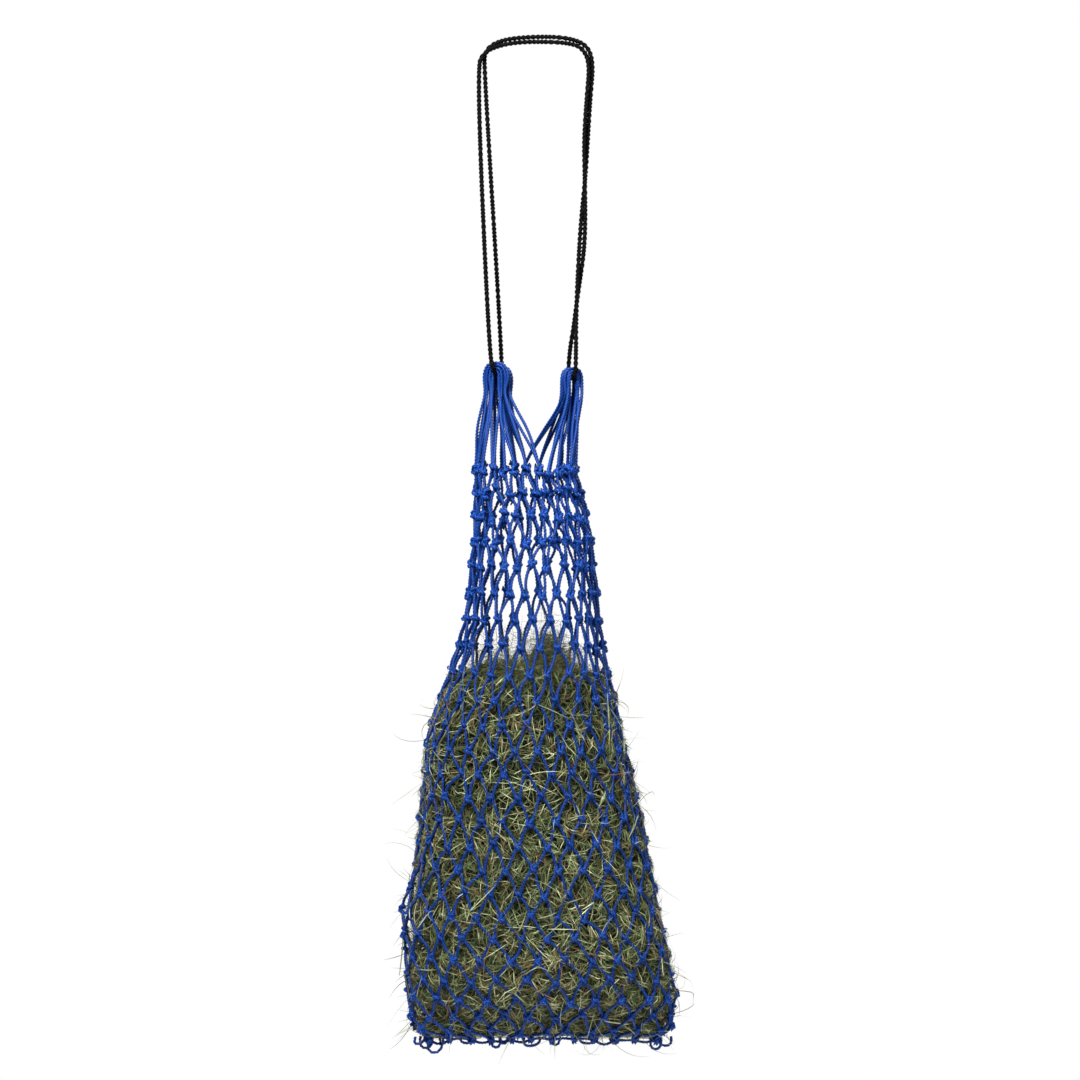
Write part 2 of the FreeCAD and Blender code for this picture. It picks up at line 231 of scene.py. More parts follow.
def row_at(z):
    """The knot row, whole or not, at a height."""
    rows = np.linspace(0, COURSES, 501)
    return np.interp(-np.asarray(z), -net_section(rows)[0], rows)


@functools.cache
def shares_round():
    """The share of the way round the net at each knot row and at even angles."""
    line = net_surface(np.arange(COURSES + 1.0)[:, None], np.linspace(0, TAU, ROUND_STEPS + 1)[None])
    lengths = np.cumsum(np.linalg.norm(np.diff(line[..., :2], axis=1), axis=-1), axis=1)
    return np.pad(lengths, ((0, 0), (1, 0))) / lengths[:, -1:]


def openness(row, angle):
    """0 on a twine of the net and 1 in the middle of a mesh."""
    table = shares_round()
    low = np.clip(row.astype(int), 0, COURSES - 1)
    column = np.rint(angle / TAU * ROUND_STEPS).astype(int)
    share = table[low, column] + (table[low + 1, column] - table[low, column]) * (row - low)
    across = share * MESHES_ROUND
    return np.abs(np.sin(math.pi * (across + row / 2)) * np.sin(math.pi * (across - row / 2)))


@functools.cache
def net_knots():
    """Every knot's place, and the directions round the net and out of it: arrays of rows by meshes by 3."""
    rng = np.random.default_rng(11)
    angles = np.linspace(0, TAU, ROUND_STEPS + 1)
    centres = np.empty((COURSES + 1, MESHES_ROUND, 3))
    for row in range(COURSES + 1):
        shares = (np.arange(MESHES_ROUND) + (row % 2) / 2) / MESHES_ROUND
        centres[row] = along_line(net_surface(float(row), angles), shares)
    around = unit(np.roll(centres, -1, axis=1) - np.roll(centres, 1, axis=1))
    out = np.cross(around, (0, 0, 1.0))
    shift = rng.normal(0, sizes().unevenness, (3, COURSES + 1, MESHES_ROUND, 1)).clip(-MOST_SHIFT, MOST_SHIFT)
    shift[2, :MOUTH_ROWS] *= MOUTH_UNEVENNESS
    shift[:, COURSES] *= LACED_UNEVENNESS
    centres += around * shift[0] + out * shift[1] * SHIFT_OUT
    centres[..., 2:] += shift[2]
    return centres, around, out


# ---- mesh tools ----


def coordinates(mesh):
    flat = np.empty(len(mesh.vertices) * 3)
    mesh.vertices.foreach_get("co", flat)
    return flat.reshape(-1, 3)


def placed(name, data):
    """A new object in the scene."""
    made = bpy.data.objects.new(name, data)
    bpy.context.collection.objects.link(made)
    return made


def shape_mesh(mesh, places, lay, shade):
    """Puts a mesh's corners in their places, and keeps two values of each for its material.

    They are "lay", a place within the straight strand, and "shade", from 0 to 1.
    """
    mesh.vertices.foreach_set("co", places.astype(np.float32).ravel())
    for name, kind, key, values in ("lay", "FLOAT_VECTOR", "vector", lay), ("shade", "FLOAT", "value", shade):
        mesh.attributes.new(name, kind, "POINT").data.foreach_set(key, values.astype(np.float32).ravel())
    mesh.shade_smooth()
    mesh.update()
    return mesh


def capped_tube(samples, sides):
    """A closed tube of radius 1 up the Z axis from 0 to 1, with a ring of corners for each sample."""
    bm = bmesh.new()
    bmesh.ops.create_cone(bm, cap_ends=True, segments=sides, radius1=1, radius2=1, depth=1)
    upright = [edge for edge in bm.edges if abs(edge.verts[0].co.z - edge.verts[1].co.z) > 0.5]
    if samples > 2:
        bmesh.ops.subdivide_edges(bm, edges=upright, cuts=samples - 2, use_grid_fill=True)
    bmesh.ops.translate(bm, verts=bm.verts, vec=(0, 0, 0.5))
    bmesh.ops.recalc_face_normals(bm, faces=bm.faces)
    mesh = bpy.data.meshes.new("tube")
    bm.to_mesh(mesh)
    bm.free()
    return mesh


def repeated(mesh, count):
    """A mesh of that many copies of one mesh, in order."""
    holder = placed("row", mesh)
    row = holder.modifiers.new("row", "ARRAY")
    row.count = count
    row.use_relative_offset = False
    graph = bpy.context.evaluated_depsgraph_get()
    made = bpy.data.meshes.new_from_object(holder.evaluated_get(graph))
    bpy.data.objects.remove(holder)
    return made


def frames(paths, up=None):
    """Two directions across each path at each sample: near `up`, or carried along the path without twist."""
    ahead = unit(np.gradient(paths, axis=1))
    if up is not None:
        first = np.broadcast_to(up[:, None] if up.ndim == 2 else up, ahead.shape)
        first = unit(first - ahead * (first * ahead).sum(-1, keepdims=True))
        return first, np.cross(ahead, first)
    first = np.empty_like(ahead)
    spare = np.eye(3)[np.abs(ahead[:, 0]).argmin(axis=-1)]
    first[:, 0] = unit(np.cross(ahead[:, 0], spare))
    for k in range(1, ahead.shape[1]):
        now = ahead[:, k]
        first[:, k] = unit(first[:, k - 1] - now * (first[:, k - 1] * now).sum(-1, keepdims=True))
    return first, np.cross(ahead, first)


def lay_strands(paths, radius, rng, sides=6, turns=0.0, up=None, flat=1.0, shade=None):
    """Closed strands, one along each path, which `turns` in a metre twist."""
    count, samples = paths.shape[:2]
    tube = capped_tube(samples, sides)
    corners = coordinates(tube)
    mesh = repeated(tube, count)
    bpy.data.meshes.remove(tube)
    ring = np.rint(corners[:, 2] * (samples - 1)).astype(int)
    angle = np.arctan2(corners[:, 1], corners[:, 0])
    radii = np.broadcast_to(np.asarray(radius, float), (count, samples))[:, ring]
    steps = np.linalg.norm(np.diff(paths, axis=1), axis=-1)
    along = np.concatenate([np.zeros((count, 1)), np.cumsum(steps, axis=1)], axis=1)[:, ring]
    first, second = frames(paths, up)
    turned = angle + TAU * turns * along + rng.uniform(0, TAU, (count, 1)) * (turns > 0)
    across = (radii * np.cos(turned) * flat)[..., None] * first[:, ring]
    places = paths[:, ring] + across + (radii * np.sin(turned))[..., None] * second[:, ring]
    start = rng.uniform(0, 5, (count, 1))
    lay = np.stack([radii * np.cos(angle), radii * np.sin(angle), along + start], axis=-1)
    if shade is None:
        shade = rng.uniform(0, 1, count)
    return shape_mesh(mesh, places, lay, np.repeat(shade, len(corners)))


def lay_twine(paths, thickness, rng, **more):
    """Strands of laid twine, whose plies stand at `thickness` of its diameter from the middle."""
    return lay_strands(paths, sizes().twine * thickness, rng, sides=3, turns=sizes().ply_turns, **more)


def make_piece(name, meshes, material):
    """One object of those meshes."""
    parts = [placed(name, mesh) for mesh in meshes]
    if len(parts) > 1:
        with bpy.context.temp_override(active_object=parts[0], selected_editable_objects=parts):
            bpy.ops.object.join()
    piece = parts[0]
    piece.data.name = name
    piece.data.materials.clear()
    piece.data.materials.append(material)
    return piece


def bezier(start, start_handle, end_handle, end, samples):
    """Curved paths between arrays of points."""
    t = np.linspace(0, 1, samples)[:, None]
    points = [point[:, None] for point in (start, start_handle, end_handle, end)]
    weights = ((1 - t) ** 3, 3 * t * (1 - t) ** 2, 3 * t**2 * (1 - t), t**3)
    return sum(point * weight for point, weight in zip(points, weights))


def spline_points(route, smoothness=16):
    """Points along a smooth line that a list of points steers."""
    curve = bpy.data.curves.new("route", "CURVE")
    curve.dimensions = "3D"
    spline = curve.splines.new("NURBS")
    spline.points.add(len(route) - 1)
    for point, place in zip(spline.points, route):
        point.co = (*place, 1)
    spline.order_u = 3
    spline.use_endpoint_u = True
    spline.resolution_u = smoothness
    holder = bpy.data.objects.new("route", curve)
    mesh = bpy.data.meshes.new_from_object(holder)
    points = coordinates(mesh)
    bpy.data.objects.remove(holder)
    bpy.data.curves.remove(curve)
    bpy.data.meshes.remove(mesh)
    return points


def line_length(line):
    return float(np.linalg.norm(np.diff(line, axis=0), axis=1).sum())


def along_line(points, shares):
    """The points at those shares of the way along a line."""
    reached = np.concatenate([[0], np.cumsum(np.linalg.norm(np.diff(points, axis=0), axis=1))])
    return np.stack([np.interp(reached[-1] * shares, reached, points[:, axis]) for axis in range(3)], axis=-1)


def evenly(points, samples):
    """As many points, evenly spaced along a line."""
    return along_line(points, np.linspace(0, 1, samples))


# ---- materials ----


def add(tree, kind, inputs=None, **settings):
    """A new shader node with its settings, and its inputs set to a value or linked to a socket."""
    node = tree.nodes.new("ShaderNode" + kind)
    for key, value in settings.items():
        setattr(node, key, value)
    for key, value in (inputs or {}).items():
        if isinstance(value, bpy.types.NodeSocket):
            tree.links.new(value, node.inputs[key])
        else:
            node.inputs[key].default_value = value
    return node


def new_material(name):
    material = bpy.data.materials.new(name)
    material.use_nodes = True
    material.node_tree.nodes.clear()
    return material, material.node_tree


def scaled(colour, factor, lift=0.0):
    """A colour made lighter or darker."""
    return (*(channel * factor + lift for channel in colour[:3]), 1)


def mix(tree, share, first, second):
    """Sockets or colours, mixed by a share."""
    return add(tree, "Mix", {0: share, 6: first, 7: second}, data_type="RGBA").outputs[2]


def lay_noise(tree, scale, detail=3.0):
    """Noise in a strand's own straight space, so that it follows the strand."""
    lay = add(tree, "Attribute", attribute_name="lay").outputs["Vector"]
    stretched = add(tree, "Mapping", {"Vector": lay, "Scale": scale}).outputs["Vector"]
    inputs = {"Vector": stretched, "Scale": 1.0, "Detail": detail}
    return add(tree, "TexNoise", inputs).outputs["Fac"]


def place_noise(tree, scale, detail=2.0):
    """Noise in the object's space."""
    place = add(tree, "TexCoord").outputs["Object"]
    return add(tree, "TexNoise", {"Vector": place, "Scale": scale, "Detail": detail}).outputs["Fac"]


def remap(tree, value, low, high, to_low=0.0, to_high=1.0):
    inputs = {"Value": value, "From Min": low, "From Max": high, "To Min": to_low, "To Max": to_high}
    return add(tree, "MapRange", inputs).outputs["Result"]


def total(tree, first, second):
    return add(tree, "Math", {0: first, 1: second}, operation="ADD").outputs["Value"]


def ply_height(tree, low, high):
    """0 in a strand's grooves and 1 on its plies."""
    lay = add(tree, "Attribute", attribute_name="lay").outputs["Vector"]
    across = add(tree, "VectorMath", {0: lay, 1: (1, 1, 0)}, operation="MULTIPLY").outputs["Vector"]
    reach = add(tree, "VectorMath", {0: across}, operation="LENGTH").outputs["Value"]
    return remap(tree, reach, low, high)


def strand_shade(tree, most=1.0):
    """A strand's own shade, from 0 to `most`."""
    shade = add(tree, "Attribute", attribute_name="shade").outputs["Fac"]
    return shade if most == 1.0 else remap(tree, shade, 0, 1, 0, most)


def finish_material(tree, inputs):
    """The shader with those inputs, as the material's surface."""
    shader = add(tree, "BsdfPrincipled", inputs)
    add(tree, "OutputMaterial", {"Surface": shader.outputs["BSDF"]})


def finish_fibrous(tree, colour, fibres, smoothest, roughest, strength, depth, specular):
    """A surface whose fibres give it its bump and its roughness."""
    bump = add(tree, "Bump", {"Height": fibres, "Strength": strength, "Distance": depth})
    roughness = remap(tree, fibres, 0.3, 0.7, smoothest, roughest)
    inputs = {"Base Color": colour, "Roughness": roughness, "Normal": bump.outputs["Normal"]}
    finish_material(tree, {**inputs, "Specular IOR Level": specular})


@functools.cache
def twine_material():
    """Laid plastic twine: painted highlights on the ply crests and along the fibres, painted shade in the
    grooves, slight fading and hay dust.
    """
    material, tree = new_material("twine_blue")
    fibres = lay_noise(tree, (2600, 2600, 90))
    radius = sizes().twine / 2
    height = ply_height(tree, radius * 0.82, radius * 1.24)
    # Painted shade: the twine darkens towards its grooves between the plies
    base = mix(tree, height, colours().twine_groove_shade, colours().twine)
    # Painted highlights: the twine is lightened on its ply crests and in glints along its fibres
    crest_highlight = remap(tree, height, 0.4, 1, 0, 0.85)
    glint = remap(tree, fibres, 0.5, 0.68, 0, 0.45)
    highlighted = mix(tree, total(tree, glint, crest_highlight), base, scaled(colours().twine, 2.1, 0.004))
    varied = mix(tree, strand_shade(tree, 0.35), highlighted, scaled(colours().twine, 0.55))
    dust = remap(tree, place_noise(tree, 130, 4), 0.62, 0.8, 0, 0.07)
    dusty = mix(tree, dust, varied, (0.16, 0.17, 0.14, 1))
    finish_fibrous(tree, dusty, fibres, 0.34, 0.6, strength=0.5, depth=0.0006, specular=0.20)
    return material


@functools.cache
def rope_material():
    """Black braided cord: fine yarns along each carrier, with grey painted highlight flecks along them."""
    material, tree = new_material("rope_black")
    yarns = lay_noise(tree, (3000, 3000, 120))
    # Painted highlights: grey flecks that follow the yarns
    painted_highlight_flecks = remap(tree, lay_noise(tree, (420, 420, 240), 2), 0.56, 0.68, 0, 0.9)
    base = mix(tree, painted_highlight_flecks, colours().rope, scaled(colours().rope, 9.0))
    dust = remap(tree, place_noise(tree, 45, 3), 0.5, 0.75, 0, 0.06)
    dusty = mix(tree, dust, base, (0.025, 0.024, 0.022, 1))
    varied = mix(tree, strand_shade(tree, 0.4), dusty, (0.002, 0.002, 0.0025, 1))
    finish_fibrous(tree, varied, yarns, 0.38, 0.62, strength=0.6, depth=0.0005, specular=0.045)
    return material


@functools.cache
def hay_material():
    """Dry hay: each stem its own colour from old green to straw and brown, ribbed, with spots of age; its
    lowest tones are painted shade on the heap and the deepest blades.
    """
    material, tree = new_material("hay")
    ribs = lay_noise(tree, (2500, 2500, 45))
    along = remap(tree, lay_noise(tree, (60, 60, 30), 2), 0.25, 0.75, -0.12, 0.12)
    ramp = add(tree, "ValToRGB", {"Fac": total(tree, strand_shade(tree), along)})
    green, straw = np.array(colours().hay_green[:]), np.array(colours().hay_straw[:])
    dark, brown = np.array(colours().hay_dark[:]), np.array(colours().hay_brown[:])
    stops = (
        # The lowest stops are painted shade for the heap and the deepest blades, and old hay's tone in other
        # stems
        (0.0, dark * 0.12),
        (0.14, dark),
        (0.34, green * 0.6),
        (0.52, green * 1.2),
        (0.66, green * 1.1 + straw * 0.35),
        (0.73, green * 0.55),
        (0.80, brown),
        (0.85, brown * 1.2),
        (0.92, straw),
        (1.0, straw * 1.5),
    )
    while len(ramp.color_ramp.elements) < len(stops):
        ramp.color_ramp.elements.new(0.5)
    for element, (position, colour) in zip(ramp.color_ramp.elements, stops):
        element.position = position
        element.color = (*colour[:3], 1)
    furrows = remap(tree, ribs, 0.4, 0.7, 0, 0.35)
    ribbed = mix(tree, furrows, ramp.outputs["Color"], (0.012, 0.014, 0.005, 1))
    patches = remap(tree, place_noise(tree, 16, 3), 0.4, 0.65, 0, 0.38)
    shaded = mix(tree, patches, ribbed, (0.022, 0.027, 0.010, 1))
    finish_fibrous(tree, shaded, ribs, 0.5, 0.75, strength=0.4, depth=0.0003, specular=0.2)
    return material


@functools.cache
def floor_material():
    """A matt studio floor with the faintest unevenness."""
    material, tree = new_material("studio_floor")
    mottle = remap(tree, place_noise(tree, 3, 2), 0.3, 0.7, 0, 0.03)
    tint = mix(tree, mottle, colours().floor, (0.85, 0.85, 0.84, 1))
    inputs = {"Base Color": tint, "Roughness": 0.9, "Emission Color": (1, 1, 1, 1), "Emission Strength": 0.55}
    finish_material(tree, inputs)
    return material


# ---- draw rope ----

BRAID_CARRIERS = 4
BRAID_STEP = 0.0010  # between rings of a carrier
BRAID_EASE = 61  # rings over which the braid's roll is evened out as it keeps one face forward
BRAID_DRIFT = ((0.0014, 0.053), (0.0010, 0.037))  # how far its crossings drift along, and over what length
CARRIER_REACH = 0.63  # from the rope's middle to a carrier's, in rope radii
CARRIER_WEAVE = 0.13  # how far a carrier rises and sinks from there, in rope radii
CARRIER_RADIUS = 0.31  # in rope diameters
CORE_RADIUS = 0.475  # in rope diameters
ROPE_KNOT_SIZE = (0.0021, 0.0032, 0.0021)
ROPE_KNOT_TAIL = ((0.004, 0.003, -0.003), (0.007, 0.006, -0.013), (0.006, 0.005, -0.024))  # from its middle


def pair_points(side):
    """One of the two right falls, from the top down: side is 1 for the first and -1 for the other."""
    points = []
    for x, z, bearing in RIGHT_PAIR:
        turn = math.radians(bearing)
        points.append((x + side * PAIR_HALF * math.cos(turn), side * PAIR_HALF * math.sin(turn), z))
    return points


def rope_route():
    """The whole rope, from its knot round to its knot again."""
    route = [ROPE_KNOT, *LEFT_BACK_FALL, *UPPER_TOP_RUN, *pair_points(1), *RIGHT_BEND]
    return route + [*reversed(pair_points(-1)), *LOWER_TOP_RUN, *LEFT_FRONT_FALL, *LEFT_BEND, ROPE_KNOT]


@functools.cache
def rope_line():
    return spline_points(rope_route())


def braided(line, rng):
    """A round braid along a line: carriers that wind both ways, over and under each other, round a core."""
    length = line_length(line)
    samples = int(length / BRAID_STEP) + 1
    centre = evenly(line, samples)[None]
    first, second = frames(centre)
    along = np.linspace(0, length, samples)[None]
    along = along + sum(reach * np.sin(TAU * along / span) for reach, span in BRAID_DRIFT)
    forward = np.array([0, -1.0, 0])
    roll = np.unwrap(np.arctan2((second[0] * forward).sum(-1), (first[0] * forward).sum(-1)))
    roll = np.convolve(np.pad(roll, BRAID_EASE // 2, mode="edge"), np.ones(BRAID_EASE) / BRAID_EASE, "valid")
    carrier = np.arange(BRAID_CARRIERS)[:, None]
    hand = np.where(carrier % 2, 1, -1)
    around = TAU * (hand * along / sizes().braid_pitch + (carrier // 2) * 2 / BRAID_CARRIERS) + roll
    weave = np.cos(TAU * along * BRAID_CARRIERS / 2 / sizes().braid_pitch + (carrier % 2) * math.pi)
    radius = sizes().rope / 2 * (CARRIER_REACH + CARRIER_WEAVE * weave)
    outwards = np.cos(around)[..., None] * first + np.sin(around)[..., None] * second
    carriers = centre + radius[..., None] * outwards
    wound = lay_strands(carriers, sizes().rope * CARRIER_RADIUS, rng, up=outwards, flat=0.85)
    return [wound, lay_strands(centre, sizes().rope * CORE_RADIUS, rng)]


class HAYNET_OT_draw_rope(bpy.types.Operator):
    """Makes the braided draw rope, which runs through both gathers and is doubled over the support"""

    bl_idname = "haynet.draw_rope"
    bl_label = "Draw rope"

    def execute(self, context):
        line = rope_line()
        rope = make_piece("draw_rope", braided(line, np.random.default_rng(3)), rope_material())
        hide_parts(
            "rope_bight", "rope_falls_left", "rope_falls_right", "rope_bend_left", "rope_bend_right"
        )
        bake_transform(rope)
        knot = rope_knot()
        return {"FINISHED"}


def rope_knot():
    """The overhand knot that ties the rope's two ends, with its short tails."""
    t = np.linspace(0, TAU, 90)
    across, up = np.sin(t) + 2 * np.sin(2 * t), np.cos(t) - 2 * np.cos(2 * t)
    centre = np.array(ROPE_KNOT)
    turns = centre + np.stack([across, -np.sin(3 * t), up], axis=-1) * ROPE_KNOT_SIZE
    rng = np.random.default_rng(5)
    tails = []
    for side in (-1, 1):
        tails += braided(spline_points(centre + np.array(ROPE_KNOT_TAIL) * (side, 1, 1)), rng)
    knot = make_piece("draw_rope_knot", [*braided(turns, rng), *tails], rope_material())
    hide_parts("rope_knot")
    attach(knot, "gathers")
    return knot


# ---- long loops ----

LEFT_LEGS = 13
LOOP_REACH = 0.013  # how far to front and back the loops sit along the rope
LOOP_LAYERS = {"left": (4, 4, 3, 3), "right": (4, 4, 3)}  # loops in each layer, from the rope out
LAYER_STEP = 1.08  # from one layer of loops to the next, in twine diameters
WAIST_DROP = 0.026  # from the rope down to where the loops draw together
LOOP_SAMPLES = 230
LOOP_THICKNESS = 0.66
SADDLE_Z = -0.484  # the rope's bends in the gathers lie below this
STRAY_X = -0.012  # the place of the knot at the back that the right gather takes too


def mouth_knots(side):
    """The mouth knots that hang from one gather: for the right one, also one at the back of the left."""
    knots = net_knots()[0][0]
    order = (np.arange(MESHES_ROUND) + (MESHES_ROUND - 2 * (LEFT_LEGS // 2)) // 2) % MESHES_ROUND
    if side == "left":
        return knots[order[: LEFT_LEGS + 1]]
    stray = np.argmin(np.abs(knots[:, 0] - STRAY_X) + (knots[:, 1] < 0))
    return knots[[*order[LEFT_LEGS + 1 :], stray]]


def saddles(side):
    """Places along the rope's bend, from front to back, where loops sit, and the rope's direction there."""
    line = rope_line()
    hand = -1 if side == "left" else 1
    low = line[(line[:, 2] < SADDLE_Z) & (line[:, 0] * hand > 0) & (np.abs(line[:, 1]) < LOOP_REACH)]
    low = evenly(low[np.argsort(low[:, 1])], 101)
    return low, unit(np.gradient(low, axis=0))


def loop_halves(knots, side, rng):
    """Where each loop starts and ends: pairs of strand ends, nested over the rope, with layer and place.

    Each mouth knot has two strand ends. Those further left go up the rope's left side and the others up its
    right, the outermost in the top layer, and within a layer they run from front to back.
    """
    ends = np.repeat(np.arange(len(knots)), 2)
    order = np.argsort(knots[ends, 0] + rng.normal(0, 0.007, len(ends)))
    left, right = ends[order[: len(knots)]][::-1], ends[order[len(knots) :]]
    loops, first = [], 0
    for layer, size in enumerate(LOOP_LAYERS[side]):
        pair = []
        for half in (left, right):
            part = half[first : first + size]
            pair.append(part[np.argsort(knots[part, 1])])
        loops += [(pair[0][k], pair[1][k], layer, (k + 0.5) / size) for k in range(size)]
        first += size
    return loops


def long_loop(start, end, seat, rope_ahead, layer, rng):
    """One loop: up from a mouth knot, over the rope and the loops under it, and down to another knot."""
    twine = sizes().twine
    up = np.array([0, 0, 1.0])
    across = unit(np.cross(rope_ahead, up))
    across = across * np.sign(across[0])
    half_width = (sizes().rope + twine) / 2 + layer * twine * LAYER_STEP + rng.normal(0, 0.0006)
    height = half_width * rng.uniform(0.92, 1.02)
    points = []
    for knot, hand in ((start, -1), (end, 1)):
        arm = seat + across * hand * half_width
        waist = arm - up * WAIST_DROP - across * hand * half_width * rng.uniform(-0.12, 0.2)
        waist = waist + rng.normal(0, 0.0016, 3)
        bow = rng.normal(0, 0.0028, 3) * (1, 1, 0)
        half = [
            knot + up * 0.003 + across * hand * 0.001,
            knot + (waist - knot) * (0.13, 0.13, 0.20) + across * hand * twine * 0.3,
            knot + (waist - knot) * (0.46, 0.46, 0.52) + bow,
            knot + (waist - knot) * (0.80, 0.80, 0.78) + bow * 0.7,
            waist,
            arm - up * 0.008 + across * hand * 0.0006,
            arm + up * height * 0.25,
            arm - across * hand * half_width * 0.35 + up * height,
        ]
        points += half if hand < 0 else half[::-1]
    return evenly(spline_points(points, 10), LOOP_SAMPLES)


def long_loops(side):
    """All the loops of one gather, as one piece."""
    knots = mouth_knots(side)
    rng = np.random.default_rng(21 if side == "left" else 22)
    places, aheads = saddles(side)
    paths = []
    for start, end, layer, share in loop_halves(knots, side, rng):
        place = int(share * (len(places) - 1))
        paths.append(long_loop(knots[start], knots[end], places[place], aheads[place], layer, rng))
    mesh = lay_twine(np.array(paths), LOOP_THICKNESS, rng)
    piece = make_piece(f"long_loops_{side}", [mesh], twine_material())
    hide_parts(f"gather_{side}", f"loop_legs_{side}")
    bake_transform(piece)


class HAYNET_OT_long_loops(bpy.types.Operator):
    """Makes the long loops that gather the net's mouth on the rope"""

    bl_idname = "haynet.long_loops"
    bl_label = "Long loops"

    def execute(self, context):
        for side in ("left", "right"):
            long_loops(side)
        return {"FINISHED"}


# ---- netting ----

# One mesh knot: the upper mesh's bight and the strand that wraps it, in twine radii, across, out and up
KNOT_BIGHT = (
    (-1.4, 0.0, 3.9), (-1.5, 0.3, 1.4), (-1.0, 0.8, -2.0), (1.0, 0.8, -2.0), (1.5, 0.3, 1.4),
    (1.4, 0.0, 3.9),
)
KNOT_WRAP = (
    (-1.5, -0.2, -3.9), (-0.9, 0.4, -2.3), (-0.5, 1.7, -0.3), (0.9, 1.8, 1.6), (2.3, 0.4, 2.2),
    (1.2, -1.8, 1.7), (-1.2, -1.8, 0.9), (-2.4, 0.3, 0.2), (-1.2, 2.1, -0.9), (0.9, 2.0, -1.3),
    (1.8, 0.6, -2.2), (1.5, -0.2, -3.9),
)
FULL_ROW = 9  # where the hay starts to fill the net
SLACK_ROWS = 5  # over which the net goes slack above it
KNOT_TURN = 0.22  # spread of the knots' turns, in radians
KNOT_SIZES = (0.95, 1.22)
KNOT_THICKNESS = 0.66
KNOT_REACH = 0.003  # from a knot's middle to where its twines leave it
BAR_SAMPLES = 20
BAR_THICKNESS = 0.61
BAR_SPREAD = 0.13  # how far a twine heads round the net as it leaves its upper knot
BAR_BEND = 0.40  # of a twine's length, over which it keeps its heading at each end
BAR_BOW_OUT = (0.0006, 0.0009)  # mean and spread
BAR_BOW_ROUND = 0.0024  # spread


def knot_paths(shape, centres, around, out, turns, scale):
    """A knot's strand at every knot, each turned and sized its own way."""
    local = evenly(spline_points(shape, 6), 2 * len(shape)) * sizes().twine / 2
    c, s = np.cos(turns), np.sin(turns)
    up = np.cross(out, around)
    up = up * np.sign(up[:, 2:])
    side = around * c[:, None] + up * s[:, None]
    above = up * c[:, None] - around * s[:, None]
    across, outwards, upwards = (local[None, :, axis, None] * scale[:, None, None] for axis in range(3))
    return centres[:, None] + across * side[:, None] + outwards * out[:, None] + upwards * above[:, None]


def neck_share(row):
    """1 in the slack neck and 0 from the row where the hay fills the net."""
    return np.clip((FULL_ROW - row) / SLACK_ROWS, 0, 1)


def knot_size(row):
    """How large a row's knots are: loose at the mouth, and pulled small where the lacing holds them."""
    if row < 2:
        return 1.25
    return 0.72 if row == COURSES else 1.0 + 0.1 * neck_share(row)


def knots_of_row(row, rng):
    """The knots of one row."""
    centres, around, out = (part[row] for part in net_knots())
    front = np.where(rng.uniform(size=(MESHES_ROUND, 1)) < 0.5, 1.0, -1.0)
    turns = rng.normal(0, KNOT_TURN, MESHES_ROUND)
    scale = rng.uniform(*KNOT_SIZES, MESHES_ROUND) * knot_size(row)
    shade = rng.uniform(0.2, 1, MESHES_ROUND)
    thickness = KNOT_THICKNESS + 0.08 * neck_share(row)
    meshes = []
    for shape in (KNOT_BIGHT, KNOT_WRAP):
        paths = knot_paths(shape, centres, around * front, out * front, turns, scale)
        share = np.linspace(0, 1, paths.shape[1])
        taper = np.clip(np.minimum(share, 1 - share) * 5 + 0.35, 0, 1)
        meshes.append(lay_twine(paths, thickness * taper, rng, shade=shade))
    return meshes


def bars_of_course(row, rng):
    """The twines from one knot row down to the next, a little slack and never quite straight."""
    centres, arounds, outs = net_knots()
    number = np.arange(MESHES_ROUND)
    later = number if row % 2 else number + 1
    twine = sizes().twine
    paths, ups = [], []
    slack = neck_share(row)
    # How steeply each leaves its upper knot and reaches its lower one, which grows in the slack neck
    leave, arrive = 0.18 + 0.20 * slack, 0.42 + 0.53 * slack
    for side, index in ((1, later), (-1, later - 1)):
        index = index % MESHES_ROUND
        upper, lower = centres[row - 1], centres[row][index]
        straight = unit(lower - upper)
        falling = np.array([0, 0, -1.0])
        spread = unit(straight * (1 - leave) + falling * leave + arounds[row - 1] * side * BAR_SPREAD)
        down = unit(straight * (1 - arrive) + falling * arrive)
        start = upper + arounds[row - 1] * side * twine * 0.5 + spread * KNOT_REACH
        end = lower - arounds[row][index] * side * twine * 0.5 - down * KNOT_REACH
        bow = outs[row - 1] * rng.normal(*BAR_BOW_OUT, (MESHES_ROUND, 1))
        bow += arounds[row - 1] * rng.normal(0, BAR_BOW_ROUND, (MESHES_ROUND, 1))
        bend = np.linalg.norm(end - start, axis=1, keepdims=True) * BAR_BEND
        paths.append(bezier(start, start + spread * bend + bow, end - down * bend + bow, end, BAR_SAMPLES))
        ups.append(outs[row - 1])
    return lay_twine(np.concatenate(paths), BAR_THICKNESS + 0.03 * slack, rng, up=np.concatenate(ups))


def netting(name, first, last):
    """The netting's courses from one to another, as one piece, with their lower knots."""
    rng = np.random.default_rng(100 + first)
    meshes = knots_of_row(0, rng) if first == 1 else []
    for row in range(first, last + 1):
        meshes += [bars_of_course(row, rng), *knots_of_row(row, rng)]
    piece = make_piece(name, meshes, twine_material())
    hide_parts(*(f"mesh_course_{row:02d}" for row in range(first, last + 1)))
    return piece


class HAYNET_OT_netting(bpy.types.Operator):
    """Makes the knotted netting: the neck, the collar between it and the bag, and the bag"""

    bl_idname = "haynet.netting"
    bl_label = "Netting"

    def execute(self, context):
        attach(netting("netting_neck", 1, NECK_ROWS), "neck")
        collar = netting("netting_collar", NECK_ROWS + 1, COLLAR_ROWS)
        start_z, end_z = (float(net_section(row)[0]) for row in (NECK_ROWS, COLLAR_ROWS))
        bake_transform(collar)
        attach(netting("netting_bag_upper", COLLAR_ROWS + 1, UPPER_ROWS), "hay_bag")
        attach(netting("netting_bag_middle", UPPER_ROWS + 1, MIDDLE_ROWS), "hay_bag")
        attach(netting("netting_bag_lower", MIDDLE_ROWS + 1, COURSES), "hay_bag")
        return {"FINISHED"}


